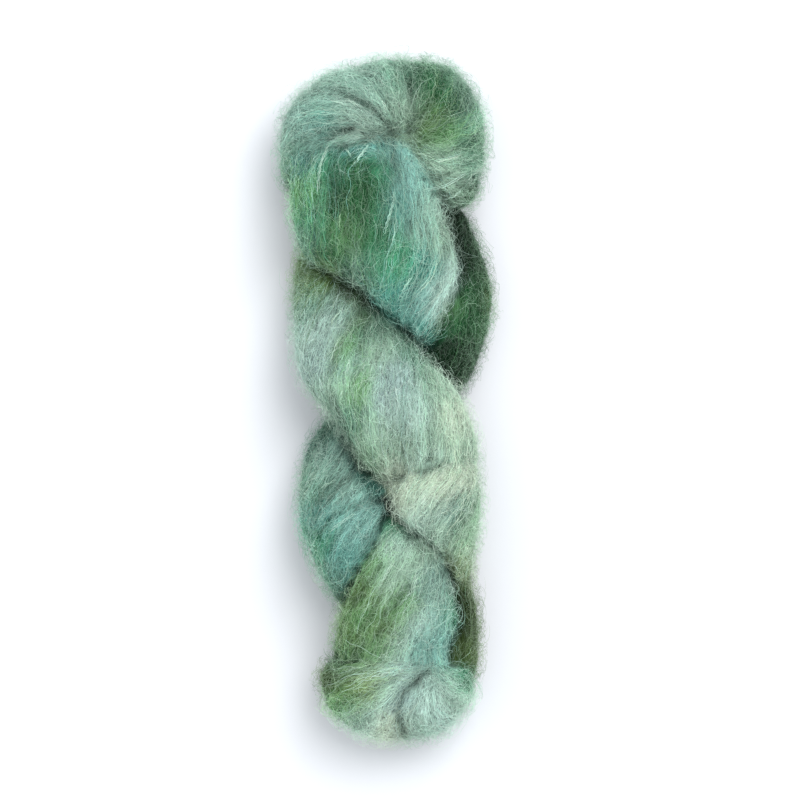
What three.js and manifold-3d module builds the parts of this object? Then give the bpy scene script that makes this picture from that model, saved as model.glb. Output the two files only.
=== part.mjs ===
// A twisted hank of brushed mohair yarn, lying flat on a table.
//
// Millimetres. X runs across the hank, Y along it towards its fanned end, Z up from the table.
// The wound loop is twisted and folded in half, so the hank is a rope of two strands that cross over
// each other in turn. Each strand is itself two bundles of yarn, and each end is a bundle turned round
// a pinch. All of them are pressed into one mass, so they are joined to one solid here.

import * as THREE from 'three';
import { mergeVertices } from 'three/addons/utils/BufferGeometryUtils.js';
import Module from 'manifold-3d';

const wasm = await Module();
wasm.setup();

const HANK = { length: 300, width: 92, height: 60 };

// How finely the bundles are skinned.
const RING_SIDES = 30;
const CORE_SIDES = 12;
const RING_STEP = 6;
const TURN_STEP = 9;

// The yarn's own twist shows as soft ridges that lean the other way from the strands.
const RIDGES = { count: 6, height: 0.022, turnPerMm: THREE.MathUtils.degToRad(2.0) };
const FAN_FOLDS = { everyDegrees: 24, height: 0.02 };

// The sections of the bundles that run along the hank, each cut square across it, in mm.
// left, right, low and high bound the section, and lean tips it within them: right side up above 0.
const BUNDLES = {
  // Over the front below the fan, round the right side, under the hank, and up again on the left.
  upperFront: [
    //  y, left, right, low, high, lean
    [127, -28, 0, 12, 32, 0.0],
    [119, -38, 5, 10, 44, 0.0],
    [110, -43, 10, 8, 54, 0.0],
    [100, -43.5, 16, 8, 58, 0.0],
    [86, -43, 25, 8, 60, -0.1],
    [76, -41.5, 31, 8, 60, -0.1],
    [64, -36, 34.5, 7, 59, -0.2],
    [53, -28, 36, 5, 59, -0.2],
    [43, -17, 34, 3, 58, -0.3],
    [35, -9, 29.5, 1, 56, -0.3],
    [28, -3, 25.5, 0, 51, -0.2],
    [20, 0, 24, -2, 41, -0.2],
    [10, -8, 24, -3, 30, 0.0],
    [-2, -14, 18, -3, 27, 0.0],
    [-12, -25, 12, -3, 32, 0.3],
    [-22, -35, 4, 0, 41, 0.5],
    [-33, -37, 1, 4, 48, 0.4],
    [-44, -37.5, 1, 6, 51, 0.3],
    [-55, -36, -1, 7, 52, 0.2],
    [-65, -32, -5, 7, 50, 0.1],
    [-74, -28, -9, 7, 46, 0.0],
    [-82, -23, -12, 7, 40, 0.0],
    [-92, -18, -4, 4, 32, 0.0],
    [-110, -14, 4, 0, 22, 0.0],
  ],
  // Low on the right behind the first bundle, under the hank, and over the front near the far end.
  lowerFront: [
    [94, 12, 30, 2, 30, 0.0],
    [82, 15, 36, 0, 32, 0.0],
    [70, 17, 41, -2, 35, 0.0],
    [58, 17, 45, -2, 37, -0.1],
    [47, 16, 46.5, -2, 38, -0.1],
    [36, 12, 45.5, -2, 38, -0.1],
    [27, 8, 42.5, -2, 37, -0.1],
    [18, 2, 38.5, -3, 40, -0.2],
    [8, -4, 33, -3, 34, 0.0],
    [-4, -14, 26, -3, 30, 0.0],
    [-16, -22, 18, -3, 29, 0.1],
    [-28, -22, 11, -2, 34, 0.2],
    [-38, -16, 9, 2, 40, 0.2],
    [-47, -11, 11, 6, 47, 0.1],
    [-56, -9, 18, 8, 53, 0.0],
    [-65, -11, 25, 9, 56, 0.0],
    [-75, -14.5, 29, 9, 57, 0.0],
    [-85, -17.5, 31.5, 8, 57, 0.0],
    [-95, -20, 33, 7, 56, 0.0],
    [-105, -23, 31, 5, 50, -0.1],
    [-115, -21, 25, 3, 37, -0.1],
    [-125, -16, 18, 2, 28, 0.0],
    [-133, -10, 12, 2, 22, 0.0],
  ],
  // Up on the left, over the front in the middle of the hank, and down under it again.
  middleFront: [
    [86, -35, -14, -1, 18, 0.2],
    [75, -38, -14, -2, 26, 0.3],
    [65, -39, -12, -2, 35, 0.4],
    [55, -40, -8, -1, 44, 0.4],
    [45, -40, -2, 2, 51, 0.3],
    [35, -39.5, 6, 6, 55.5, 0.3],
    [25, -39, 15, 9, 58.5, 0.2],
    [14, -37, 25, 11, 60.5, 0.1],
    [4, -31, 34, 12, 61, -0.1],
    [-6, -22, 38, 12, 61, -0.2],
    [-16, -16, 40.5, 11, 59, -0.3],
    [-25, -11, 41, 9, 55, -0.4],
    [-33, -6, 39, 6, 48, -0.4],
    [-41, -3, 36, 3, 40, -0.3],
    [-50, -3, 33, 0, 33, 0.0],
    [-62, -4, 30, -2, 27, 0.0],
    [-76, -8, 26, -3, 24, 0.0],
    [-92, -14, 22, -3, 24, 0.0],
    [-106, -20, 14, -2, 28, 0.0],
    [-116, -22, 8, 0, 32, 0.0],
  ],
  // Out from under the middle bundle on the right, and down behind the last one.
  middleRight: [
    [-8, 4, 30, 8, 38, 0.0],
    [-18, 2, 38, 8, 46, 0.0],
    [-27, 0, 41, 8, 53, -0.1],
    [-36, 0, 41.5, 8, 58, -0.1],
    [-46, 2, 41, 8, 59, -0.2],
    [-56, 8, 40, 7, 58, -0.3],
    [-65, 16, 38, 5, 54, -0.3],
    [-73, 22, 36, 4, 48, -0.2],
    [-80, 24, 35, 2, 41, 0.0],
    [-88, 21, 38, 0, 38, 0.0],
    [-97, 18, 40.5, -2, 38, 0.0],
    [-107, 17, 41, -2, 38, 0.0],
    [-117, 17, 39, -2, 36, 0.0],
    [-126, 18, 36, 0, 31, 0.0],
    [-134, 18, 31, 2, 25, 0.0],
  ],
};

// The inner yarn that fills the rope between the bundles.
const CORE = [
  [130, -10, 20, 4, 40, 0.0],
  [120, -16, 24, -3, 48, 0.0],
  [110, -18, 26, -3, 50, 0.0],
  [98, -18, 26, -3, 48, 0.0],
  [50, -18, 28, -3, 42, 0.0],
  [10, -18, 24, -3, 42, 0.0],
  [-30, -16, 26, -3, 38, 0.0],
  [-60, -14, 28, -3, 42, 0.0],
  [-90, -14, 28, -3, 40, 0.0],
  [-122, -12, 24, -3, 36, 0.0],
];

// The turned ends. Each is swept round the upright line through its pinch, from its first angle to its
// last, in degrees anticlockwise from +X. reach is the section's outer edge, measured from the pinch.
const ENDS = {
  fan: {
    pinch: { x: 5.7, y: 114 },
    hollow: 1.2,
    rows: [
      // angle, reach, low, high
      [-66, 24, 8, 32],
      [-54, 33, 4, 41],
      [-40, 37, 1, 48],
      [-22, 37, -1, 52],
      [0, 37, -2, 55],
      [25, 38.5, -2, 57],
      [48, 40.5, -2, 58],
      [72, 37, -2, 58],
      [95, 36, -2, 58],
      [116, 38, -2, 58],
      [137, 43.5, -2, 58],
      [155, 48.5, -2, 57],
      [170, 51.5, -2, 56],
      [184, 52, -2, 54],
      [198, 51.5, -2, 50],
      [211, 46, 0, 44],
      [223, 34, 6, 36],
    ],
  },
  tuck: {
    pinch: { x: 20, y: -113 },
    hollow: 1.0,
    rows: [
      [158, 20, 8, 24],
      [168, 34, 4, 34],
      [178, 43, 1, 41],
      [188, 48, -1, 46],
      [198, 49, -2, 48],
      [208, 48, -2, 49],
      [218, 46, -2, 49],
      [229, 43, -2, 48],
      [240, 39.5, -2, 45],
      [247, 36.5, -2, 41],
      [254, 36, -2, 44],
      [264, 35, -2, 48],
      [276, 33, -2, 50],
      [291, 29.5, -2, 51],
      [308, 26, -2, 50],
      [326, 23, -1, 46],
      [342, 20.5, 0, 40],
      [358, 17.5, 3, 32],
    ],
  },
};

const YARN = { color: 0x86b39b, roughness: 0.95, metalness: 0.0 };

// A smooth curve through the rows of a table, each column eased alike.
function easedRow(rows, place) {
  const start = Math.min(Math.floor(place), rows.length - 2);
  const t = place - start;
  const at = (index) => rows[THREE.MathUtils.clamp(index, 0, rows.length - 1)];
  return rows[0].map((_, column) => {
    const [before, from, to, after] = [-1, 0, 1, 2].map((step) => at(start + step)[column]);
    const slopeFrom = (to - before) / 2;
    const slopeTo = (after - from) / 2;
    return (
      from * (1 + 2 * t) * (1 - t) ** 2 + slopeFrom * t * (1 - t) ** 2
      + to * t * t * (3 - 2 * t) - slopeTo * t * t * (1 - t)
    );
  });
}

// Eased rows about one step apart, measured down the first column.
function evenRows(rows, step) {
  const even = [];
  for (let index = 0; index < rows.length - 1; index += 1) {
    const span = Math.abs(rows[index + 1][0] - rows[index][0]);
    const pieces = Math.max(1, Math.round(span / step));
    for (let piece = 0; piece < pieces; piece += 1) {
      even.push(easedRow(rows, index + piece / pieces));
    }
  }
  even.push(rows[rows.length - 1]);
  return even;
}

// Skins rings of equal size into one closed solid. Each ring turns clockwise about the way to the next.
function skin(rings) {
  const sides = rings[0].length;
  const points = rings.flat();
  const triangles = [];
  for (let ring = 0; ring < rings.length - 1; ring += 1) {
    for (let side = 0; side < sides; side += 1) {
      const here = ring * sides + side;
      const next = ring * sides + ((side + 1) % sides);
      triangles.push(here, next, next + sides, here, next + sides, here + sides);
    }
  }
  for (const [ring, flip] of [[0, false], [rings.length - 1, true]]) {
    const middle = points.length;
    const sum = rings[ring].reduce((total, point) => total.add(point), new THREE.Vector3());
    points.push(sum.divideScalar(sides));
    for (let side = 0; side < sides; side += 1) {
      const here = ring * sides + side;
      const next = ring * sides + ((side + 1) % sides);
      triangles.push(middle, flip ? here : next, flip ? next : here);
    }
  }
  return solid(points.flatMap((point) => point.toArray()), triangles);
}

// A point of a section: across and up from its middle, within its bounds, tipped by its lean.
function sectionPoint(angle, halfWidth, halfHeight, lean, swell) {
  const across = Math.cos(angle);
  const up = lean * across + Math.sqrt(1 - lean * lean) * Math.sin(angle);
  return { across: across * halfWidth * swell, up: up * halfHeight * swell };
}

// A bundle along the hank, from its table of sections.
function bundleAlong(rows, sides, ridgeHeight) {
  const rings = evenRows(rows, RING_STEP).map(([y, left, right, low, high, lean]) => (
    Array.from({ length: sides }, (_, side) => {
      const angle = (side / sides) * 2 * Math.PI;
      const ridge = Math.cos(RIDGES.count * (angle - y * RIDGES.turnPerMm));
      const swell = 1 + ridgeHeight * ridge;
      const point = sectionPoint(angle, (right - left) / 2, (high - low) / 2, lean, swell);
      return new THREE.Vector3((left + right) / 2 + point.across, y, (low + high) / 2 + point.up);
    })
  ));
  return skin(rings);
}

// A bundle turned round its pinch, from its table of angles, with the soft folds of a fan.
function bundleTurned({ pinch, hollow, rows }) {
  const rings = evenRows(rows, TURN_STEP).map(([degrees, reach, low, high]) => {
    const swell = 1 + FAN_FOLDS.height * Math.cos((degrees / FAN_FOLDS.everyDegrees) * 2 * Math.PI);
    const turn = THREE.MathUtils.degToRad(degrees);
    const middle = (hollow + reach) / 2;
    return Array.from({ length: RING_SIDES }, (_, side) => {
      const angle = -(side / RING_SIDES) * 2 * Math.PI;
      const point = sectionPoint(angle, (reach - hollow) / 2, (high - low) / 2, 0, 1);
      const out = middle + point.across;
      const x = pinch.x + out * Math.cos(turn);
      const y = pinch.y + out * Math.sin(turn);
      return new THREE.Vector3(x, y, (low + high) / 2 + point.up * swell);
    });
  });
  return skin(rings);
}

// The slab under the table's top, which cuts the hank flat where it rests.
function belowTable() {
  const depth = HANK.height;
  const slab = new THREE.BoxGeometry(2 * HANK.width, 2 * HANK.length, depth);
  slab.translate(0, 0, -depth / 2);
  slab.deleteAttribute('normal');
  slab.deleteAttribute('uv');
  const { attributes, index } = mergeVertices(slab);
  return solid(attributes.position.array, index.array);
}

function solid(vertProperties, triVerts) {
  return new wasm.Manifold(new wasm.Mesh({
    numProp: 3,
    vertProperties: new Float32Array(vertProperties),
    triVerts: new Uint32Array(triVerts),
  }));
}

// The solid's surface, with the hank's box centred on the origin in X and Y.
function surfaceOf(shape) {
  const { vertProperties, triVerts } = shape.getMesh();
  const geometry = new THREE.BufferGeometry();
  geometry.setAttribute('position', new THREE.BufferAttribute(vertProperties, 3));
  geometry.setIndex(new THREE.BufferAttribute(triVerts, 1));
  geometry.computeBoundingBox();
  const middle = geometry.boundingBox.getCenter(new THREE.Vector3());
  geometry.translate(-middle.x, -middle.y, 0);
  geometry.computeVertexNormals();
  return geometry;
}

function makeHank() {
  const bundles = Object.values(BUNDLES).map((rows) => bundleAlong(rows, RING_SIDES, RIDGES.height));
  const ends = Object.values(ENDS).map(bundleTurned);
  const core = bundleAlong(CORE, CORE_SIDES, 0);
  const whole = [...bundles, ...ends, core].reduce((joined, piece) => joined.add(piece));
  const hank = new THREE.Mesh(
    surfaceOf(whole.subtract(belowTable())),
    new THREE.MeshStandardMaterial(YARN),
  );
  hank.name = 'hank';
  return hank;
}

const yarn = new THREE.Group();
yarn.add(makeHank());

export default yarn;
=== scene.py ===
# A twisted hank of brushed, hand-dyed mohair yarn, lying on a pale table.
#
# Its bundles are those of the CAD solid, in mm, with their sections set a little closer to the real ones.
# They are joined to one body, and the threads and the pile are laid on it along the way that the yarn runs.

import math

import bmesh
import bpy
import numpy as np
from mathutils import Matrix, Vector, noise
from mathutils.bvhtree import BVHTree


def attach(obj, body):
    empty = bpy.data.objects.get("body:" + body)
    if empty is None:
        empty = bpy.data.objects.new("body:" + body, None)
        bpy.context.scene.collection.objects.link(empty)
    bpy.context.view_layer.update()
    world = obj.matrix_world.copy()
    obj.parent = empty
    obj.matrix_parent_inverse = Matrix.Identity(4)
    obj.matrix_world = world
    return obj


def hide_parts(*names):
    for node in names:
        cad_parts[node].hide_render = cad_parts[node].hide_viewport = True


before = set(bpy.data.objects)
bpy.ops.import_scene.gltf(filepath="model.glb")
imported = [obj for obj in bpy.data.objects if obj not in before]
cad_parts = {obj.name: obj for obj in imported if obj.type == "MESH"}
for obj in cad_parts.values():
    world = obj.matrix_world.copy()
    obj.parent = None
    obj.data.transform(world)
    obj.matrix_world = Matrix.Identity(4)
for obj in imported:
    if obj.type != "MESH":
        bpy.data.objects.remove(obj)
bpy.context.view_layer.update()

MM = 0.001
SEED = 7

# Sections of the bundles along the hank. left, right, low and high bound a section in mm, and lean tips it
# within them. drift is how far the strands on its top shift to the right for each mm down the hank.
LONG = {
    # Over the front below the fan, round the right side, under the hank, and up again on the left.
    "upper_front": [
        # y, left, right, low, high, lean, drift
        (127, -28, 0, 12, 32, 0, 0.2), (119, -38, 6, 10, 44, 0, 0.2), (110, -43, 14, 8, 54, 0, 0.2),
        (100, -42, 21, 8, 58, 0, 0.1), (86, -40, 24, 8, 60, -0.1, 0), (76, -38, 27.5, 8, 60, -0.1, -0.1),
        (64, -33.5, 34, 7, 59, -0.2, -0.2), (53, -18, 36, 5, 59, -0.2, -0.3),
        (43, -6, 34.5, 3, 58, -0.3, -0.5), (35, 1.5, 32, 1, 56, -0.3, -0.6),
        (28, 9, 28.5, 0, 49, -0.2, -0.6), (20, 9, 25, -2, 37, -0.2, -0.5), (10, -8, 24, -3, 30, 0, -0.4),
        (-2, -20, 18, -3, 28, 0, -0.4), (-12, -30, 12, -3, 34, 0.3, -0.4),
        (-22, -35, 4, 0, 41, 0.5, -0.6), (-33, -37, 2, 4, 48, 0.4, -0.8),
        (-44, -37.5, 3, 6, 51, 0.3, -0.8), (-55, -36, 1.5, 7, 52, 0.2, -0.7),
        (-65, -32, -2.5, 7, 50, 0.1, -0.4), (-74, -28, -9, 7, 46, 0, -0.2), (-82, -23, -12, 7, 40, 0, 0),
        (-92, -18, -4, 4, 32, 0, 0), (-110, -14, 4, 0, 22, 0, 0),
    ],
    # Low on the right behind the first bundle, under the hank, and over the front near the far end.
    "lower_front": [
        (94, 12, 30, 2, 30, 0, 0), (82, 15, 36, 0, 32, 0, 0), (70, 17, 41, -2, 35, 0, 0),
        (58, 17, 45, -2, 39, -0.1, 0), (47, 16, 46.5, -2, 42, -0.1, 0), (36, 12, 45, -2, 44, -0.1, -0.1),
        (27, 8, 42.5, -2, 43, -0.1, -0.2), (18, 2, 40, -3, 42, -0.2, -0.3), (8, -4, 35, -3, 36, 0, -0.3),
        (-4, -14, 26, -3, 30, 0, -0.3), (-16, -22, 18, -3, 29, 0.1, -0.3),
        (-28, -22, 11, -2, 34, 0.2, -0.3), (-38, -14, 8, -1, 34, 0.1, -0.4),
        (-47, -8, 11, 4, 44, 0, -0.4), (-56, -6, 18, 8, 53, 0, -0.5), (-65, -10, 26.5, 9, 56, 0, -0.5),
        (-75, -14.5, 30, 9, 57, 0, -0.4), (-85, -18, 31.5, 8, 57, 0, -0.4),
        (-95, -20, 33, 7, 56, 0, -0.4), (-105, -21.5, 33, 5, 50, -0.1, -0.3),
        (-114, -22.5, 31.5, 3, 42, -0.1, -0.3), (-119, -19, 27, 3, 33, -0.1, -0.3),
        (-125, -16, 18, 2, 28, 0, -0.2), (-133, -10, 12, 2, 22, 0, 0),
    ],
    # Up on the left, over the front in the middle of the hank, and down under it again.
    "middle_front": [
        (86, -32, -14, -1, 18, 0.2, -0.4), (75, -34, -14, -2, 26, 0.3, -0.5),
        (65, -38, -12, -2, 35, 0.4, -0.6), (55, -40, -8, -1, 44, 0.4, -0.6),
        (45, -40, -2, 2, 51, 0.3, -0.5), (35, -39.5, 6, 6, 55.5, 0.3, -0.4),
        (25, -39, 15, 9, 58.5, 0.2, -0.3), (14, -37, 23.5, 11, 60.5, 0.1, -0.2),
        (4, -31, 32, 12, 61, -0.1, -0.1), (-6, -22, 37, 12, 61, -0.2, 0),
        (-16, -16, 40.5, 11, 59, -0.3, 0), (-25, -11, 41.5, 9, 57, -0.35, -0.1),
        (-33, -6, 40, 6, 50, -0.35, -0.2), (-41, -3, 36, 3, 41, -0.3, -0.2),
        (-50, -3, 33, 0, 33, 0, -0.2), (-62, -4, 30, -2, 27, 0, -0.2), (-76, -8, 26, -3, 24, 0, -0.2),
        (-92, -14, 22, -3, 24, 0, -0.2), (-106, -20, 14, -2, 28, 0, -0.2), (-116, -22, 8, 0, 32, 0, -0.2),
    ],
    # Out from under the middle bundle on the right, and down behind the last one.
    "middle_right": [
        (-8, 4, 30, 8, 38, 0, -0.5), (-18, 2, 36, 8, 42, 0, -0.7), (-27, 0, 39.5, 8, 51, 0, -0.8),
        (-36, 0, 41.5, 8, 58, -0.1, -0.8), (-46, 2.5, 41, 8, 59, -0.2, -0.7),
        (-56, 12.5, 40, 7, 58, -0.3, -0.5), (-65, 24, 38, 5, 54, -0.3, -0.3),
        (-73, 27, 37, 4, 48, -0.2, -0.1), (-80, 27, 37, 2, 41, 0, 0), (-88, 21, 39.5, 0, 38, 0, 0),
        (-97, 18, 40.5, -2, 38, 0, 0), (-107, 20, 41, -2, 38, 0, 0), (-117, 26, 40.5, -2, 34, 0, 0),
        (-126, 27, 37.5, 0, 28, 0, 0), (-134, 24, 31, 2, 22, 0, 0),
    ],
}

# The inner yarn that fills the rope between the bundles.
CORE = [
    (130, -6, 18, 4, 36, 0, 0), (120, -6, 18, -3, 47, 0, 0), (110, -6, 18, -3, 50, 0, 0),
    (98, -10, 20, -3, 44, 0, 0), (50, -18, 28, -3, 42, 0, 0), (10, -18, 24, -3, 42, 0, 0),
    (-30, -16, 26, -3, 38, 0, 0), (-60, -14, 28, -3, 42, 0, 0), (-90, -14, 28, -3, 40, 0, 0),
    (-104, -8, 32, -3, 40, 0, 0), (-113, 4, 36, -3, 45, 0, 0), (-122, 2, 30, -3, 38, 0, 0),
]

# The turned ends, swept round the upright line through their pinch, in degrees anticlockwise from +X.
# hollow and reach are a section's inner and outer edge, measured from the pinch. The strands cross it
# outwards, and swing by swirl degrees meanwhile.
TURNED = {
    "fan": {
        "pinch": (5.7, 114.0),
        "hollow": 1.2,
        "swirl": 38.0,
        "rows": [
            # angle, reach, low, high
            (-66, 27, 8, 32), (-54, 36, 4, 41), (-40, 40, 1, 48), (-22, 38.5, -1, 52), (0, 37, -2, 55),
            (25, 38.5, -2, 57), (48, 40.5, -2, 58), (72, 37, -2, 58), (95, 36, -2, 58), (116, 38, -2, 58),
            (137, 43.5, -2, 58), (155, 48.5, -2, 57), (170, 51.5, -2, 56), (184, 52, -2, 54),
            (198, 51.5, -2, 50), (211, 46, 0, 44), (223, 34, 6, 36),
        ],
    },
    "tuck": {
        "pinch": (20.0, -113.0),
        "hollow": 1.0,
        "swirl": 24.0,
        "rows": [
            (164, 20, 8, 34), (173, 34, 4, 44), (181, 43, 1, 47), (189, 48.5, -1, 48), (198, 49, -2, 48),
            (208, 48, -2, 49), (218, 46, -2, 49), (229, 43, -2, 48), (240, 40, -2, 46),
            (247, 37.5, -2, 44), (254, 36.5, -2, 46), (264, 34, -2, 48), (276, 31.5, -2, 50),
            (291, 28, -2, 51), (308, 25, -2, 50), (326, 22, -1, 47), (342, 20, 0, 43), (358, 17, 3, 37),
            (372, 13, 8, 28),
        ],
    },
}
# The rows are eased in steps of so many mm or degrees, and cut into rings. The skin's cells are in mm.
EASED_STEP = 1.0
EASED_TURN = 2.0
RING_STEP = 2.5
RING_TURN = 4.0
RING_SIDES = 64
VOXEL = 1.35
# How many places along and round each bundle are tried for the middle of the hank.
TRIED = (200, 120)

# The dye shades of the yarn, as they look in even light.
DYES = {
    "cream": (216, 233, 210),
    "frost": (208, 240, 228),
    "pale mint": (196, 230, 212),
    "icy": (182, 212, 206),
    "celadon": (174, 208, 184),
    "mint": (160, 200, 183),
    "pale aqua": (152, 207, 195),
    "mist": (146, 186, 172),
    "sage": (146, 184, 152),
    "aqua": (122, 188, 176),
    "teal": (98, 172, 156),
    "deep teal": (46, 100, 88),
    "fern": (116, 162, 138),
    "jade": (80, 160, 120),
    "pistachio": (140, 194, 136),
    "grass": (112, 170, 110),
    "lime": (150, 176, 116),
    "moss": (112, 147, 91),
    "olive": (78, 102, 54),
    "deep olive": (37, 56, 15),
    "pine": (54, 114, 74),
    "forest": (40, 94, 54),
    "deep forest": (20, 53, 28),
    "sand": (144, 166, 124),
}

# Where each dye was poured on each bundle, seen from above: x, y and radius in mm of its patches.
POURED = {
    "fan": {
        "mist": [(-37, 119, 8)], "mint": [(-24, 135, 9), (-6, 133, 8)],
        "fern": [
            (6, 139, 6), (32, 141, 5), (23, 148, 4), (36, 124, 5), (38, 114, 4), (36, 105, 5),
            (-43, 108, 7), (10, 148, 4),
        ],
        "forest": [(18, 141, 6), (27, 129, 5), (38, 91, 4)],
        "pine": [(25, 137, 5), (18, 127, 3), (40, 111, 3.5), (42, 118, 4)], "moss": [(21, 123, 5)],
        "grass": [(27, 117, 5)], "celadon": [(27, 105, 5), (30, 97, 5), (7, 126, 6)],
        "pale mint": [(-14, 121, 6)], "teal": [(-26, 122, 5)],
    },
    "upper_front": {
        "aqua": [(-14, 115, 5), (-3, 113, 4), (-37, 106, 6), (5, 82, 5), (-27, -50, 5), (-17, -68, 6)],
        "grass": [(-36, 92, 6), (-17, 72, 5), (29, 39, 3.5)],
        "jade": [(-24, 98, 5), (-32, 81, 5), (-1, 101, 4), (4, 62, 6), (-4, 60, 4), (-29, -60, 4)],
        "fern": [(-34, 70, 5), (-10, 57, 5), (-27, -9, 4), (-32, -36, 6), (-24, -75, 5)],
        "moss": [(-25, 58, 3)], "forest": [(-11, 98, 5), (-9, 89, 7), (-25.5, 84, 3.5), (29, 31, 4)],
        "pine": [(-3, 76, 7), (-25, 68, 5)],
        "pale aqua": [(6, 108, 5), (12, 96, 5), (15, 42, 5), (-14, -47, 6), (-9, -56, 5)],
        "mint": [(19, 88, 4), (16, 77, 5), (-17, -38, 5)], "celadon": [(25, 71, 5)],
        "frost": [(30, 60, 4), (27, 49, 5), (22, 40, 3)], "teal": [(19, 60, 5), (5, 46, 5), (12, 31, 5)],
        "deep teal": [(-32, -17, 5), (-6, -29, 6)], "mist": [(-24, -25, 6)],
    },
    "lower_front": {
        "deep forest": [(30, 80, 7), (38, 64, 6), (36, 28, 3.5), (35, 22, 4), (31, 13, 5), (21, 24, 3)],
        "forest": [(38, 49, 6), (40, 36, 6)], "grass": [(28, 42, 4), (-9, -91, 4)],
        "pine": [(28, 33, 4), (-18, -111, 4)], "olive": [(45, 46, 3)], "jade": [(3, -53, 4), (30, -91, 4)],
        "pale mint": [(4, -61, 5), (6, -104, 5)], "pistachio": [(-5, -69, 5), (7, -87, 5), (-4, -106, 5)],
        "moss": [(-10, -83, 5), (0, -97, 6), (-16, -104, 5)], "celadon": [(2, -76, 5), (11, -68, 5)],
        "mist": [(17, -76, 4)], "mint": [(24, -83, 5)], "frost": [(15, -95, 5)],
        "pale aqua": [(23, -97, 5), (17, -105, 5)],
    },
    "middle_front": {
        "moss": [(-33, 54, 5), (-10, 36, 3)], "olive": [(-23, 59, 5), (-14, 47, 4)],
        "fern": [(-34, 43, 5), (-14, -7, 4), (-6, 32, 5), (14, 25, 6)],
        "frost": [(-29, 32, 5), (-22, 32, 4), (11, -4, 6)], "pale mint": [(-33, 25, 4), (20, -24, 5)],
        "mint": [(-18, 40, 5), (-14, 17, 3)], "icy": [(-31, 18, 7), (4, 10, 6)],
        "celadon": [
            (-24, 7, 6), (-2, 23, 5), (24, 10, 6), (35, -19, 5), (20, -12, 5), (7, -17, 5), (-4, -14, 5),
        ],
        "grass": [(-16, 28, 3)], "pistachio": [(-19, 21, 3), (-9, 10, 3), (-13, 4, 3)],
        "mist": [(-22, 14, 3)], "cream": [(31, -8, 6), (4, -31, 4)], "sage": [(-6, -25, 5)],
    },
    "middle_right": {
        "sand": [(-1, -38, 2.5), (33, -70, 4)], "cream": [(7, -39, 5), (20, -34, 7), (29, -30, 6)],
        "pale mint": [(18, -46, 5)], "mist": [(30, -46, 4)], "fern": [(36, -42, 2.5)],
        "sage": [(38, -48, 5), (35, -61, 4)], "celadon": [(25, -57, 4.5)],
        "olive": [(34, -79, 4), (38, -106, 7)], "deep olive": [(37, -91, 7)],
        "moss": [(33, -118, 3), (36, -124, 5)],
    },
    "tuck": {
        "olive": [(-26, -118, 5)], "moss": [(-17, -123, 5)], "forest": [(-20, -114, 4)],
        "lime": [(-9, -121, 5)], "sage": [(-11, -115, 4)], "grass": [(-18, -131, 5)],
        "pale mint": [(-11, -139, 6), (11, -143, 3.5), (29, -127, 5), (13, -140, 5)],
        "celadon": [(0, -122, 5)], "frost": [(5, -115, 4), (15, -120, 5), (20, -131, 6)],
        "icy": [(7, -127, 5)], "cream": [(2, -142, 5)], "mint": [(24, -113, 5)], "jade": [(36, -121, 4)],
    },
}
# How far a dye bleeds past its patch, as a part of the radius squared.
BLEED = 1.3
# The weight of the dye where none was poured.
FAINT = 1e-6
# How far a single strand's dye may lie from where it was poured, along the strand, in mm.
RAGGED = 6.0

# Below the fan the strands on the left of the upper bundle come out of the pinch in an arch round this
# centre. squash is how much flatter than a circle it is.
ARCH = {"centre": (-3.0, 100.0), "squash": 1.1}

# Where one bundle flows into the next with hardly a crease: x, y and radius in mm, seen from above.
MERGED = [
    (-40, 113, 11), (-32, 115, 9), (-24, 117, 7), (-14, 119, 5),
    (7, 112, 6), (13, 106, 6), (18, 99, 5), (21, 93, 4),
    (-3, -112, 4), (5, -111, 6), (14, -111, 7), (22, -114, 7), (26, -111, 5), (30, -115, 4),
    (-5, -34, 2.4), (-1, -37, 3.2), (4, -35.5, 2.2), (12, -31, 2.2), (30, -26.5, 3.5), (38, -26, 4),
    (9, -55, 2.2), (16, -60, 2.5), (20.5, -64, 3), (24.5, -68, 3), (-9, -114, 3),
    (-1, -58, 2.5), (-4, -64, 2.5), (-9, -69, 2.5), (-13, -75, 2.5),
    (34, 42, 2.5), (32.5, 36, 2.5), (30, 30, 2.5), (-2, 112.5, 3.5),
]
# How many times its radius such a place reaches, and the heights in mm between which it fades in.
MERGED_REACH = 1.6
MERGED_HEIGHTS = (8, 20)
# The crease is smoothed out where they are merged more than each of these.
MERGE_LEVELS = (0.2, 0.5, 0.8)
# Rounds of smoothing, of the joined skin, of those creases, and of what the skin carries.
ROUNDS = {"skin": 3, "merged": 25, "dye": 3, "ways": 6, "light": 1}
# The bundles whose strands may run on into each other there.
KIN = [("fan", "upper_front"), ("lower_front", "tuck"), ("middle_front", "middle_right")]

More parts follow.
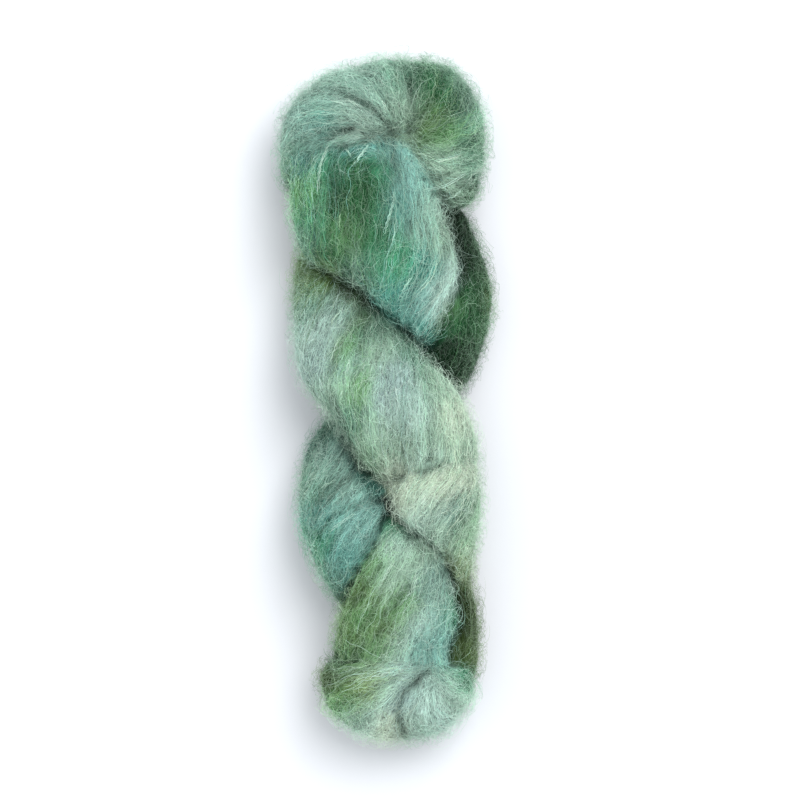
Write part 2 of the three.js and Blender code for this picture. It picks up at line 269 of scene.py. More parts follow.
# Soft troughs between the locks of yarn: half width and depth in mm, and the route.
FURROWS = [
    # In the fan, from the pinch outwards.
    (1.3, 1.9, [(5, 115), (1, 120), (-5, 126), (-12, 130), (-18, 132)]),
    (1.1, 1.0, [(-2, 113), (-6, 115), (-11, 117)]), (1.7, 2.9, [(-14, 118.5), (-19, 117), (-24, 114)]),
    (3.0, 1.6, [(-19, 117), (-27, 111), (-32, 103)]),
    (1.4, 0.9, [(5, 118), (3, 124), (1, 129), (-4, 134), (-9, 138)]),
    (1.8, 1.7, [(11, 117), (12, 130), (10, 141)]), (1.9, 1.2, [(11, 116), (18, 126), (25, 138)]),
    (1.5, 1.2, [(12, 109), (18, 106), (27, 108), (36, 113)]),
    (1.3, 1.6, [(17, 97), (22, 97), (28, 100), (36, 104)]),
    (1.3, 1.6, [(20, 91), (24, 91), (30, 92), (38, 97)]),
    # Along the upper bundle.
    (1.8, 1.8, [(24, 82), (27, 67), (23, 49), (14, 34)]),
    (2.8, 1.5, [(-20, 112), (-22, 98), (-19, 80), (-12, 66)]), (2.4, 1.8, [(4, 106), (6, 92), (10, 74)]),
    # In the middle bundle, from its left side down to where it tucks in.
    (2.2, 1.6, [(-15, 38), (-20, 26), (-22, 14)]), (2.2, 1.0, [(13, -14), (12, -22), (9, -28)]),
    (1.3, 2.2, [(18, -24.5), (20, -23), (22, -23.5)]),
    # Across the lower left puff, which parts it in two.
    (2.0, 2.4, [(0, -42), (-7, -42), (-16, -45), (-23, -50), (-29, -56)]),
    (1.6, 1.4, [(-15, -32), (-21, -33), (-27, -38)]),
    # In the last bundle, down to the left.
    (2.0, 2.6, [(-2, -71), (-8, -79), (-13, -86)]), (2.8, 1.7, [(10, -79), (4, -86), (-4, -93)]),
    (2.2, 1.5, [(-3, -99), (-8, -104), (-13, -109)]),
    # Round the tucked end.
    (2.4, 1.0, [(14, -114), (-4, -123), (-18, -131)]), (1.1, 1.4, [(-7, -136), (-10, -138), (-14, -140)]),
    (1.6, 2.6, [(18.5, -116), (13, -120.5), (8, -126), (5.5, -133), (6, -138), (9, -143)]),
]
# Where a bundle lies in the shade of the next one: the bundle, half width, share of the light lost, route.
SHADES = [
    ("middle_front", 3.8, 0.4, [(-17, 50.5), (-12, 46.5), (-8, 42)]),
    ("middle_front", 2.2, 0.28, [(-9, 39), (-5, 35), (1, 31), (7, 27.5), (14, 24)]),
    ("upper_front", 2.4, 0.12, [(-17, 55), (-9, 50), (-4, 44)]),
    ("upper_front", 2.0, 0.25, [(26, 84), (28, 76), (29.5, 68)]),
    ("lower_front", 4.5, 0.4, [(29, 84), (33, 72), (34, 58)]),
    ("lower_front", 2.5, 0.5, [(29, 27), (22, 24), (16, 24)]),
    ("middle_front", 2.4, 0.35, [(-22, 2), (-17, -8), (-13, -20), (-7, -30)]),
    ("upper_front", 3.6, 0.32, [(-18, -14), (-14, -20), (-10, -25), (-7, -30)]),
    ("upper_front", 2.4, 0.2, [(2, -46), (1, -50)]),
    ("lower_front", 2.2, 0.35, [(2, -49), (5, -51), (10, -56)]),
    ("middle_right", 4.0, 0.25, [(33, -84), (35, -98)]),
]
# Heights in mm between which the furrows fade in, and how much painted shade darkens them for each mm of
# depth.
FURROW_HEIGHTS = (12.0, 32.0)
FURROW_SHADE = 0.12

# The body's relief in mm, broad locks and narrow strands, both pressed in. dark is the painted shade in them
# at their deepest, and CREST the painted light on ground that neither presses in.
LOCKS = {"seed": 1, "pitch": 5.5, "run": 45.0, "contrast": 0.9, "depth": 1.6, "dark": 0.25}
STRANDS = {"seed": 2, "pitch": 2.0, "run": 24.0, "contrast": 0.9, "depth": 0.8, "dark": 0.35}
CREST = 1.3
# The height in mm from which the relief is full.
LYING = 3.0
# Lighter and darker strands in the dye, and broad locks of them.
STREAKS = {"seed": 3, "pitch": 2.2, "run": 30.0, "contrast": 0.25}
BROAD_STREAKS = {"seed": 4, "pitch": 6.0, "run": 32.0, "contrast": 0.42}
# How far the noise of one seed lies from that of the next.
SEED_STEP = (17.3, 5.1, 9.7)
# How far apart the bundles take the pattern of their fine strands, and about how thick they are, in mm.
PATTERN_STEP = 60.0
GIRTH = 25.0
# The half width in mm below which a bundle turns its strands no faster.
SLIMMEST = 6.0
# How many degrees past its end a turned bundle is left as far behind as at twice its half width.
OVERRUN = 5.0
# The creases between bundles: where the relief fades, how deep the crease is in mm and how dark its painted
# shade is, and the reach of each, as a part of the bundles' size.
CREASE = {"fade": 0.12, "depth": 2.0, "reach": 0.07, "shade": 0.45, "shade_reach": 0.12}
# How far the yarn swells out of its bundles' sections, in mm.
SWELL = 0.9
# The palest tint that fibres fade to, in linear colour, and how much of the dye's own hue it keeps.
PALE = np.array((0.68, 0.80, 0.69))
HUE_KEPT = 0.25
# How much of its fading a fibre keeps on black yarn, and how fast that grows with the yarn's lightness.
PALING = (0.45, 1.6)
# The least lightness with which a dye's tint is told, and the brightest that yarn gets, in linear colour.
DARKEST = 0.02
BRIGHTEST = 0.9
# How quickly each of red, green and blue darkens in the shade, as a power.
SHADE_TINT = np.array((1.10, 1.0, 1.05))
# The painted shade where the yarn sees less of the room: the rays tried at each place, how far they reach
# and how far off the body they start in mm, the openness of dark and light places, and the darkest shade.
SKY = {"rays": 16, "reach": 16.0, "clear": 0.5, "dark": 0.6, "light": 1.0, "shade": 0.22}
# The turn in radians from one ray to the next, and a way to cross the normals with.
GOLDEN_TURN = 2.39996
ASLANT = (0.36, 0.48, 0.80)

# How much pile each place carries, by how far it faces up. The flanks face up or down less than FLANK.
COVER = {"level": 0.65, "facing": 0.6, "least": 0.08, "most": 1.0, "above": 0.4}
FLANK = 0.6
# Neighbouring fibres sway alike: size in mm, seed and strength of the patches.
SWAYS = [(7, 11, 1.0), (2.6, 12, 0.7)]
# Fibres lie no lower than this above the table, in mm.
LOWEST = 0.25
# The share kept of the fibres that reach over the crease between two bundles.
BRIDGING = 0.15
# How thick a fibre is at its root and at its tip, against its width, which is its most.
TAPER = (1.5, 0.75)
# How far a thread's ends are sunk in the body in mm, and how blunt that dip is.
SUNK = 0.9
BLUNT = 0.4
# Crimped threads: part of their kind's swing, stray in radians, height in mm, lightness against the dye, and
# how much they pale, undyed and dyed.
CRIMPED = {
    "swing": (0.5, 1.2), "stray": 0.08, "sway": 0.12, "level": (0.0, 0.55),
    "tone": (0.9, 1.4), "undyed": 0.7, "dyed": 0.06,
}
# Pale threads laid along the listed routes: copies and steps, part of the route, crimp and distance beside
# it in mm, turn of the crimp in radians for each mm.
LAID = {
    "copies": 3, "steps": 16, "reach": (0.6, 1.1), "crimp": 0.22, "beside": 0.4, "turn": 2.1,
    "phase": (0, 6.3), "level": 1.0, "tone": (1.0, 1.4), "fade": (0.5, 0.95), "width": (0.26, 0.36),
}
# How a fibre of the pile stands: the depth of its root and how high it clears the body at least, in mm,
# where on an arch it starts and how much of it it follows, and how much its tip lifts and wags.
STANCE = {"root": 0.8, "clear": 0.9, "start": 0.02, "arch": 0.62, "lift": 0.2, "wag": 0.10, "waves": 1.1}
# How light the pile is against the dye.
PILE_TONE = (0.7, 1.5)
# How far inside its cell of the map a fibre stays, as a part of the cell.
MARGIN = 0.2
# Crimped threads along the strands.
THREADS = {
    # count, steps, pace and wave in mm, swing in degrees, width in mm, share that took little dye
    "straight": (1100, 18, 2.4, (10, 18), 18, (0.22, 0.32), 0.06),
    "curly": (40, 30, 1.2, (4.5, 6.5), 28, (0.30, 0.38), 1.0),
}
# Loose fibres: combed, wild and long ones over the body, a mist of fine ones round its sides, and strays.
PILES = {
    # count, steps, length in mm, spread and curl in degrees, sway, rise and width in mm, fading
    "combed": (5800, 5, (5, 10), 20, 34, 0.6, (0.2, 1.0), (0.12, 0.18), (0.0, 0.3)),
    "wild": (3600, 4, (4, 8), 50, 60, 0.5, (0.4, 1.8), (0.10, 0.16), (0.0, 0.55)),
    "long": (1200, 6, (8, 16), 45, 60, 0.4, (1.5, 5.0), (0.09, 0.12), (0.2, 0.9)),
    "mist": (10800, 4, (4, 9), 60, 60, 0.5, (1.2, 5.0), (0.08, 0.11), (0.5, 1.0)),
    "strays": (160, 12, (16, 32), 60, 80, 0.7, (2.5, 7.0), (0.09, 0.12), (0.5, 1.0)),
}
LAYERS = 4

# Routes of the pale threads that stand out in the photograph, in mm.
PALE_THREADS = [
    # On the upper bundle.
    ((-23, 113), (-25, 109), (-27, 103), (-28, 95), (-28.5, 89.5)),
    ((-6.7, 111.4), (-10.5, 105.8), (-14.4, 101)),
    ((4, 92), (3.6, 87.4), (1.9, 81), (0.2, 75), (-1.5, 70)), ((-19, 82), (-19, 79), (-19.5, 73)),
    ((-17, 110), (-14, 106)), ((13.7, 56.5), (10, 52.3), (6.6, 47)), ((22, 62), (19, 54), (13, 47)),
    ((25, 56), (24, 49), (19, 42)),
    # On the middle one.
    ((-18, 40.7), (-21.7, 36), (-21.8, 34)), ((-14.6, 33), (-19.5, 27), (-21.2, 22), (-23.6, 15.4)),
    ((-14.4, 20), (-15.7, 14), (-17, 11)), ((-17.6, 6.4), (-18.7, 1.3)), ((4, 12), (5, 3), (7, -5)),
    ((33, -2), (34, -10), (33, -18)),
    # On the fan.
    ((-23.4, 130), (-19, 129), (-15.5, 127.4)), ((-17.4, 131.3), (-12.5, 128.5), (-8.7, 127)),
    ((-16, 119), (-11.4, 118.2), (-7.3, 117.6)), ((-1.5, 130), (1, 126)), ((-9, 114), (-5, 112.4)),
    ((16.4, 92), (26.7, 95), (36, 100)), ((19.4, 88.6), (30, 90.8), (35, 95)),
    ((22, 104), (29, 106), (35, 108)),
    # On the lower left puff and the last bundle.
    ((-26.5, -37), (-21, -33)), ((-12, -46), (-20, -52), (-26, -56)), ((5, -66), (1, -73), (-3, -80)),
    ((15, -70), (12, -80), (6, -88)),
]


def linear(shade):
    """A dye's linear colour, from its 0 to 255 display colour."""
    value = np.array(shade) / 255.0
    return np.where(value <= 0.04045, value / 12.92, ((value + 0.055) / 1.055) ** 2.4)


def unit(vectors):
    return vectors / np.maximum(np.linalg.norm(vectors, axis=-1, keepdims=True), 1e-9)


def level_with(vectors, normals):
    """The vectors turned to lie along the surface."""
    return unit(vectors - (vectors * normals).sum(-1, keepdims=True) * normals)


def eased(part):
    """A part from 0 to 1, eased at both ends."""
    part = np.clip(part, 0, 1)
    return part * part * (3 - 2 * part)


def near(apart, reach):
    """1 at no distance, and near 0 from about twice the reach."""
    return np.exp(-((apart / reach) ** 2))


def wavy(points, seed):
    """Smooth noise, from about -1 to 1, at each point of a three-column array."""
    offset = Vector([seed * part for part in SEED_STEP])
    return np.array([noise.noise(Vector(point) + offset) for point in points])


def patterned(comb, kind, middle):
    """A long pattern at each combed place, about its middle."""
    places = comb / (kind["run"], kind["pitch"], kind["pitch"])
    return middle + kind["contrast"] * wavy(places, kind["seed"])


def dimmed(colours):
    """The colours, with those that are too bright dimmed in their own hue."""
    return colours * np.minimum(1, BRIGHTEST / np.maximum(colours.max(-1, keepdims=True), BRIGHTEST))


def eased_rows(rows, step):
    """The rows eased to a smooth curve, about one step apart down the first column."""
    table = np.array(rows, float)
    padded = np.vstack([table[:1], table, table[-1:]])
    rows = []
    for index in range(len(table) - 1):
        before, start, end, after = padded[index:index + 4]
        pieces = max(1, round(abs(end[0] - start[0]) / step))
        for piece in range(pieces):
            t = piece / pieces
            rows.append(
                start * (1 + 2 * t) * (1 - t) ** 2
                + (end - before) / 2 * t * (1 - t) ** 2
                + end * t * t * (3 - 2 * t)
                - (after - start) / 2 * t * t * (1 - t)
            )
    rows.append(table[-1])
    return np.array(rows)


def beside(points, route, width):
    """1 on a route, and near 0 from about twice the half width away from it, seen from above."""
    apart = np.full(len(points), np.inf)
    places = [np.array(place, float) for place in route]
    for start, end in zip(places[:-1], places[1:]):
        run = end - start
        from_start = points[:, :2] - start
        part = np.clip(from_start @ run / (run @ run), 0, 1)
        apart = np.minimum(apart, np.linalg.norm(from_start - part[:, None] * run, axis=1))
    return near(apart, width)


def on_top(points, heights):
    """0 below the first of two heights in mm, and 1 above the second."""
    low, high = heights
    return eased((points[:, 2] - low) / (high - low))


def furrow_depth(points):
    """How deep the furrows press the top in at each point, in mm."""
    depth = np.max([depth * beside(points, route, width) for width, depth, route in FURROWS], 0)
    return depth * on_top(points, FURROW_HEIGHTS)


def merged_at(points):
    """1 where one bundle flows into the next, and 0 well away from there."""
    merged = np.zeros(len(points))
    for x, y, radius in MERGED:
        apart = np.hypot(points[:, 0] - x, points[:, 1] - y) / radius
        merged = np.maximum(merged, eased(MERGED_REACH - apart))
    return merged * on_top(points, MERGED_HEIGHTS)


class Bundle:
    """A bundle of yarn through rows of sections. Its surface is measured along it and round it."""

    def __init__(self, name, rows, step):
        self.name = name
        table = eased_rows(rows, step)
        self.start = table[0, 0]
        self.alongs = np.abs(table[:, 0] - self.start)
        self.columns = table[:, 1:]
        self.length = self.alongs[-1]

    def columns_at(self, along, count):
        return (np.interp(along, self.alongs, self.columns[:, column]) for column in range(count))

    def cuts(self, step):
        return np.append(np.arange(0, self.length, step), self.length)

    def found(self, along, across, up, overrun=1.0):
        """Along, round and depth of places: a depth of 1 is on the surface, and less is inside it."""
        beyond = np.maximum(-along, along - self.length).clip(0) / overrun
        return along, np.arctan2(up, across), np.hypot(across, up) + beyond


class LongBundle(Bundle):
    """A bundle along the hank, measured along it in mm and round it in radians from +X."""

    def __init__(self, name, rows):
        super().__init__(name, rows, EASED_STEP)
        left, right, drift = self.columns[:, 0], self.columns[:, 1], self.columns[:, 5]
        slope = np.gradient((left + right) / 2, self.alongs)
        self.turning = (slope - drift) / np.maximum((right - left) / 2, SLIMMEST)
        steps = np.diff(self.alongs) * (self.turning[1:] + self.turning[:-1]) / 2
        self.turned = np.concatenate([[0], np.cumsum(steps)])

    def section(self, along):
        left, right, low, high, lean = self.columns_at(along, 5)
        return (left + right) / 2, (right - left) / 2, (low + high) / 2, (high - low) / 2, lean

    def place(self, along, around):
        middle, width, level, height, lean = self.section(along)
        across = np.cos(around)
        up = lean * across + np.sqrt(1 - lean**2) * np.sin(around)
        return np.stack([middle + width * across, self.start - along, level + height * up], -1)

    def find(self, points):
        along = self.start - points[:, 1]
        middle, width, level, height, lean = self.section(along)
        across = (points[:, 0] - middle) / width
        up = ((points[:, 2] - level) / height - lean * across) / np.sqrt(1 - lean**2)
        return self.found(along, across, up)

    def arched(self, along, around):
        """Which places lie in the arch, with their offsets from its centre."""
        middle, width, *_ = self.section(along)
        offset_x = middle + width * np.cos(around) - ARCH["centre"][0]
        offset_y = (self.start - along - ARCH["centre"][1]) * ARCH["squash"]
        inside = (offset_x < 0) & (offset_y > 0) & (np.sin(around) > 0) & (self.name == "upper_front")
        return inside, offset_x, offset_y

    def course(self, along, around, by_along, by_around):
        """The way the strands run over the surface."""
        turning = np.interp(along, self.alongs, self.turning)
        way = by_along + turning[:, None] * by_around
        inside, offset_x, offset_y = self.arched(along, around)
        round_arch = np.stack([-offset_y * ARCH["squash"], offset_x, np.zeros_like(along)], -1)
        return np.where(inside[:, None], round_arch, way)

    def comb(self, along, around):
        """Combed places: the first number runs along the strands, and the others change across them."""
        inside, offset_x, offset_y = self.arched(along, around)
        radius = np.hypot(offset_x, offset_y)
        straight_along = self.start - ARCH["centre"][1] - radius * np.arctan2(offset_y, -offset_x)
        middle, width, *_ = self.section(np.full_like(along, self.start - ARCH["centre"][1]))
        across = (ARCH["centre"][0] - radius - middle) / width
        straight_around = np.arccos(np.clip(across, -1, 1)) + np.maximum(0, -1 - across)
        along = np.where(inside, straight_along, along)
        around = np.where(inside, straight_around, around)
        label = around - np.interp(along, self.alongs, self.turned)
        return np.stack([along, GIRTH * np.cos(label), GIRTH * np.sin(label)], -1)

    def rings(self):
        for along in self.cuts(RING_STEP):
            middle, width, level, height, lean = (float(value) for value in self.section(along))
            upright = height * math.sqrt(1 - lean * lean)
            yield (middle, self.start - along, level), (width, 0, height * lean), (0, 0, upright)


class TurnedBundle(Bundle):
    """A bundle turned round a pinch, measured along it in degrees and round it in radians from outside."""

    def __init__(self, name, pinch, hollow, swirl, rows):
        super().__init__(name, rows, EASED_TURN)
        self.pinch = np.array(pinch)
        self.hollow = hollow
        self.swirl = swirl / math.pi

    def section(self, along):
        reach, low, high = self.columns_at(along, 3)
        return (self.hollow + reach) / 2, (reach - self.hollow) / 2, (low + high) / 2, (high - low) / 2

    def place(self, along, around):
        middle, width, level, height = self.section(along)
        out = middle + width * np.cos(around)
        turn = np.radians(self.start + along)
        x = self.pinch[0] + out * np.cos(turn)
        y = self.pinch[1] + out * np.sin(turn)
        return np.stack([x, y, level + height * np.sin(around)], -1)

    def find(self, points):
        offset = points[:, :2] - self.pinch
        turn = np.degrees(np.arctan2(offset[:, 1], offset[:, 0]))
        along = (turn - self.start + 90) % 360 - 90
        middle, width, level, height = self.section(along)
        across = (np.linalg.norm(offset, axis=1) - middle) / width
        return self.found(along, across, (points[:, 2] - level) / height, OVERRUN)

    def course(self, along, around, by_along, by_around):
        return self.swirl * by_along - by_around

    def comb(self, along, around):
        label = np.radians(along - self.swirl * (math.pi - around))
        return np.stack([GIRTH * around, GIRTH * np.cos(label), GIRTH * np.sin(label)], -1)

    def rings(self):
        for along in self.cuts(RING_TURN):
            middle, width, level, height = (float(value) for value in self.section(along))
            turn = math.radians(self.start + along)
            facing = np.array((math.cos(turn), math.sin(turn)))
            yield (*(self.pinch + middle * facing), level), (*(width * facing), 0), (0, 0, height)


BUNDLES = [LongBundle(name, rows) for name, rows in LONG.items()]
BUNDLES += [TurnedBundle(name, **facts) for name, facts in TURNED.items()]
BUNDLES += [LongBundle("core", CORE)]


def ways_along(bundle, along, around):
    """The way the strands run, at places measured along and round a bundle."""
    nudge_along, nudge_around = 0.3, 0.012
    ahead, behind = (bundle.place(along + nudge, around) for nudge in (nudge_along, -nudge_along))
    left, right = (bundle.place(along, around + nudge) for nudge in (nudge_around, -nudge_around))
    by_along, by_around = (ahead - behind) / (2 * nudge_along), (left - right) / (2 * nudge_around)
    return unit(bundle.course(along, around, by_along, by_around))


def hank_middle():
    """The middle of the hank's box in X and Y, which is the origin of the CAD solid."""
    low, high = np.full(2, np.inf), np.full(2, -np.inf)
    for bundle in BUNDLES:
        ends = (bundle.length, 2 * math.pi)
        along, around = np.meshgrid(*(np.linspace(0, end, count) for end, count in zip(ends, TRIED)))
        points = bundle.place(along.ravel(), around.ravel())[:, :2]
        low, high = np.minimum(low, points.min(0)), np.maximum(high, points.max(0))
    return np.append((low + high) / 2, 0)


MIDDLE = hank_middle()


def in_metres(points):
    return (points - MIDDLE) * MM


def dye_at(bundle, points):
    """The linear dye colour at points on a bundle."""
    weights = np.full(len(points), FAINT)
    colour = FAINT * np.tile(linear(DYES["sage"]), (len(points), 1))
    for shade, patches in POURED[bundle.name].items():
        for x, y, radius in patches:
            apart = (points[:, 0] - x) ** 2 + (points[:, 1] - y) ** 2
            weight = np.exp(-apart / (BLEED * radius**2))
            weights += weight
            colour += weight[:, None] * linear(DYES[shade])
    return colour / weights[:, None]


def smooth(piece):
    piece.data.polygons.foreach_set("use_smooth", [True] * len(piece.data.polygons))


def new_piece(name, data):
    """A mesh, a lamp or a camera as an object of the scene."""
    piece = bpy.data.objects.new(name, data)
    bpy.context.scene.collection.objects.link(piece)
    return piece


def set_colours(mesh, name, values):
    values = np.column_stack([values, np.ones(len(values))]).astype(np.float32)
    mesh.attributes.new(name, "FLOAT_COLOR", "POINT").data.foreach_set("color", values.ravel())


def bundle_tube(mesh, bundle):
    """One bundle as a closed tube through its sections."""
    before = None
    for centre, across, up in bundle.rings():
        along = Vector(across).cross(Vector(up)).normalized()
        place = Matrix.Identity(4)
        for column, axis in enumerate((across, up, along, np.array(centre) - MIDDLE)):
            place.col[column].xyz = Vector(axis) * MM
        ring = bmesh.ops.create_circle(mesh, segments=RING_SIDES, radius=1.0, matrix=place)["verts"]
        edges = list({edge for vertex in ring for edge in vertex.link_edges})
        if before is None:
            bmesh.ops.holes_fill(mesh, edges=edges)
        else:
            bmesh.ops.bridge_loops(mesh, edges=before + edges)
        before = edges
    bmesh.ops.holes_fill(mesh, edges=before)


def joined_bundles():
    """All bundles joined to one smooth body that lies flat on the table, without its relief."""
    mesh = bmesh.new()
    for bundle in BUNDLES:
        bundle_tube(mesh, bundle)
    for vertex in mesh.verts:
        vertex.co.z = max(vertex.co.z, 0)
    bmesh.ops.recalc_face_normals(mesh, faces=mesh.faces)
    data = bpy.data.meshes.new("joined bundles")
    mesh.to_mesh(data)
    mesh.free()
    draft = new_piece("joined bundles", data)
    remesh = draft.modifiers.new("join", "REMESH")
    remesh.mode = "VOXEL"
    remesh.voxel_size = VOXEL * MM
    joined = bpy.data.meshes.new_from_object(draft.evaluated_get(bpy.context.evaluated_depsgraph_get()))
    bpy.data.objects.remove(draft)
    return joined


def soften(mesh, vertices, rounds):
    for _ in range(rounds):
        bmesh.ops.smooth_vert(
            mesh, verts=vertices, factor=0.5, use_axis_x=True, use_axis_y=True, use_axis_z=True
        )


def measured(mesh):
    """The places in mm and the normals of a bmesh's vertices."""
    mesh.normal_update()
    places = np.array([vertex.co for vertex in mesh.verts]) / MM + MIDDLE
    return places, np.array([vertex.normal for vertex in mesh.verts])


def shared(edges, values, rounds, aligned=False):
    """Values at vertices, averaged with their neighbours'. aligned values are ways, and may point back."""
    first, second = edges.T
    sharing = 1 + np.bincount(edges.ravel(), minlength=len(values))[:, None]
    for _ in range(rounds):
        sign = np.sign((values[first] * values[second]).sum(1, keepdims=True)) if aligned else 1
        total = values.copy()
        for column in range(values.shape[1]):
            total[:, column] += np.bincount(first, (sign * values[second])[:, column], len(values))
            total[:, column] += np.bincount(second, (sign * values[first])[:, column], len(values))
        values = unit(total) if aligned else total / sharing
    return values


def openness(tree, places, normals):
    """How open to the room each place is, from 0 in a deep crease to 1 on open ground."""
    across = unit(np.cross(normals, ASLANT))
    along = np.cross(normals, across)
    free = np.zeros(len(places))
    starts = [Vector(place) for place in places + SKY["clear"] * normals]
    for ray in range(SKY["rays"]):
        out = math.sqrt((ray + 0.5) / SKY["rays"])
        turn = ray * GOLDEN_TURN
        heading = math.sqrt(1 - out * out) * normals
        heading = heading + out * (math.cos(turn) * across + math.sin(turn) * along)
        hits = [tree.ray_cast(start, Vector(way), SKY["reach"])[3] for start, way in zip(starts, heading)]
        free += [1.0 if hit is None else hit / SKY["reach"] for hit in hits]
    return free / SKY["rays"]


class Ground:
    """The body as the strands and the pile see it: cells with their normals, ways, dyes and shades."""

    def __init__(self, places, faces, facts):
        self.corners = places[faces]
        self.facts = {name: values[faces].mean(1) for name, values in facts.items()}
        self.tree = BVHTree.FromPolygons(places.tolist(), faces.tolist())
        first, second, third, fourth = self.corners.transpose(1, 0, 2)
        area = np.linalg.norm(np.cross(third - first, fourth - second), axis=1) / 2
        cover = COVER["level"] + COVER["facing"] * self.facts["normal"][:, 2]
        self.weights = area * np.clip(cover, COVER["least"], COVER["most"]) * (first[:, 2] > COVER["above"])
        self.weights /= self.weights.sum()

    def pick(self, random, count, flanks=False):
        """Places picked over all of the body, or over its flanks only."""
        weights = self.weights
        if flanks:
            weights = weights * (np.abs(self.facts["normal"][:, 2]) < FLANK)
            weights /= weights.sum()
        cells = random.choice(len(weights), count, p=weights)
        across, along = random.random((2, count, 1))
        first, second, third, fourth = self.corners[cells].transpose(1, 0, 2)
        near = first + across * (second - first)
        return near + along * (fourth + across * (third - fourth) - near)

    def drop(self, points):
        """The nearest places on the body to some points, and the cells that they lie in."""
        hits = [self.tree.find_nearest(Vector(point)) for point in points]
        return np.array([hit[0] for hit in hits]), np.array([hit[2] for hit in hits])

    def under(self, paths):
        """The places on top of the body under paths in X and Y, and the cells that they lie in."""
        down, above = Vector((0, 0, -1)), 99
        hits = [self.tree.ray_cast(Vector((*place, above)), down) for place in paths.reshape(-1, 2)]
        points = np.array([hit[0] for hit in hits]).reshape(*paths.shape[:2], 3)
        return points, np.array([hit[2] for hit in hits]).reshape(paths.shape[:2])


def hank_body():
    """The wound yarn below the pile: one body with furrows, locks and strands pressed into it."""
    joined = joined_bundles()
    mesh = bmesh.new()
    mesh.from_mesh(joined)
    soften(mesh, mesh.verts, ROUNDS["skin"])
    places, _ = measured(mesh)
    merged = merged_at(places)
    mesh.verts.ensure_lookup_table()
    for least in MERGE_LEVELS:
        chosen = [mesh.verts[index] for index in np.flatnonzero(merged > least)]
        soften(mesh, chosen, ROUNDS["merged"])
    places, normals = measured(mesh)
    faces, edges = (
        np.array([[vertex.index for vertex in part.verts] for part in parts])
        for parts in (mesh.faces, mesh.edges)
    )

    # The core shows nowhere as a bundle of its own, so its places count to the nearest bundle.
    finds = [bundle.find(places) for bundle in BUNDLES[:-1]]
    depths = np.stack([find[2] for find in finds])
    owner = depths.argmin(0)
    ranked = np.sort(depths, 0)
    gap = ranked[1] - ranked[0]
    clear_of_creases = np.maximum(eased(gap / CREASE["fade"]), merged)
    pinched = CREASE["depth"] * near(gap, CREASE["reach"]) * (1 - merged)
    comb, dye, ways = (np.zeros_like(places) for _ in range(3))
    for index, bundle in enumerate(BUNDLES[:-1]):
        mine = owner == index
        along, around, _ = finds[index]
        comb[mine] = bundle.comb(along[mine], around[mine])
        dye[mine] = dye_at(bundle, places[mine])
        ways[mine] = ways_along(bundle, along[mine], around[mine])
    dye = shared(edges, dye, ROUNDS["dye"])
    ways = shared(edges, level_with(ways, normals), ROUNDS["ways"], aligned=True)
    ways = level_with(ways, normals)

    furrows = furrow_depth(places)
    locks, strands = (np.clip(patterned(comb, kind, 0.5), 0, 1) for kind in (LOCKS, STRANDS))
    relief = (LOCKS["depth"] * locks + STRANDS["depth"] * strands) * clear_of_creases + pinched
    lying = eased(places[:, 2] / LYING)
    moved = places - normals * ((relief - SWELL) * lying)[:, None] - furrows[:, None] * (0, 0, 1)
    moved[:, 2] = np.maximum(moved[:, 2], 0)
    for vertex, place in zip(mesh.verts, in_metres(moved)):
        vertex.co = place
    mesh.to_mesh(joined)
    mesh.free()

    # Painted shade: the colours are made darker where the yarn sees less of the room, in the grooves of the
    # locks and strands, in the creases, in the furrows and where a bundle lies under the next, and lighter
    # on the crests.
    tree = BVHTree.FromPolygons(moved.tolist(), faces.tolist())
    seen = shared(edges, openness(tree, moved, normals)[:, None], ROUNDS["light"])
    shade = eased((seen - SKY["dark"]) / (SKY["light"] - SKY["dark"]))
    shade = SKY["shade"] + (1 - SKY["shade"]) * shade
    shade *= (CREST - LOCKS["dark"] * locks - STRANDS["dark"] * strands)[:, None]
    # Painted shade in the creases between bundles and in the furrows.
    dark = CREASE["shade"] * near(gap, CREASE["shade_reach"]) * (1 - merged)
    shade *= ((1 - dark) * (1 - FURROW_SHADE * furrows))[:, None]
    names = [bundle.name for bundle in BUNDLES]
    for name, width, lost, route in SHADES:
        shade *= (1 - lost * beside(places, route, width) * (owner == names.index(name)))[:, None]
    dye *= (patterned(comb, STREAKS, 1) * patterned(comb, BROAD_STREAKS, 1))[:, None]
    shade = shade**SHADE_TINT
    # The body's dye colours carry this painted shade as well as the dye.
    set_colours(joined, "dye", dimmed(dye * shade))
    spread = comb + PATTERN_STEP * owner[:, None]
    combed = joined.attributes.new("comb", "FLOAT_VECTOR", "POINT")
    combed.data.foreach_set("vector", spread.astype(np.float32).ravel())
    piece = new_piece("hank_body", joined)
    smooth(piece)
    kin = np.arange(len(BUNDLES), dtype=float)
    for one, other in KIN:
        kin[names.index(other)] = names.index(one)
    facts = {"normal": normals, "way": ways, "dye": dye, "shade": shade, "kin": kin[owner][:, None]}
    return piece, Ground(moved, faces, facts)


def walk(ground, roots, headings, stride, sway):
    """Paths over the body, one for each row of headings, in radians from the way the strands run there.

    It returns the points, normals, sideways directions and cells of all steps.
    """
    walked = []
    before = None
    place = roots
    for heading in headings.T:
        place, cell = ground.drop(place)
        normal = unit(ground.facts["normal"][cell])
        forward = level_with(ground.facts["way"][cell], normal)
        if before is not None:
            forward = forward * np.where((forward * before).sum(1, keepdims=True) < 0, -1, 1)
        before = forward
        heading = heading + sway * sum(part * wavy(place / size, seed) for size, seed, part in SWAYS)
        way = np.cos(heading)[:, None] * forward + np.sin(heading)[:, None] * np.cross(normal, forward)
        walked.append((place, normal, np.cross(normal, way), cell))
        place = place + np.reshape(stride, (-1, 1)) * way
    return (np.stack(values, 1) for values in zip(*walked))


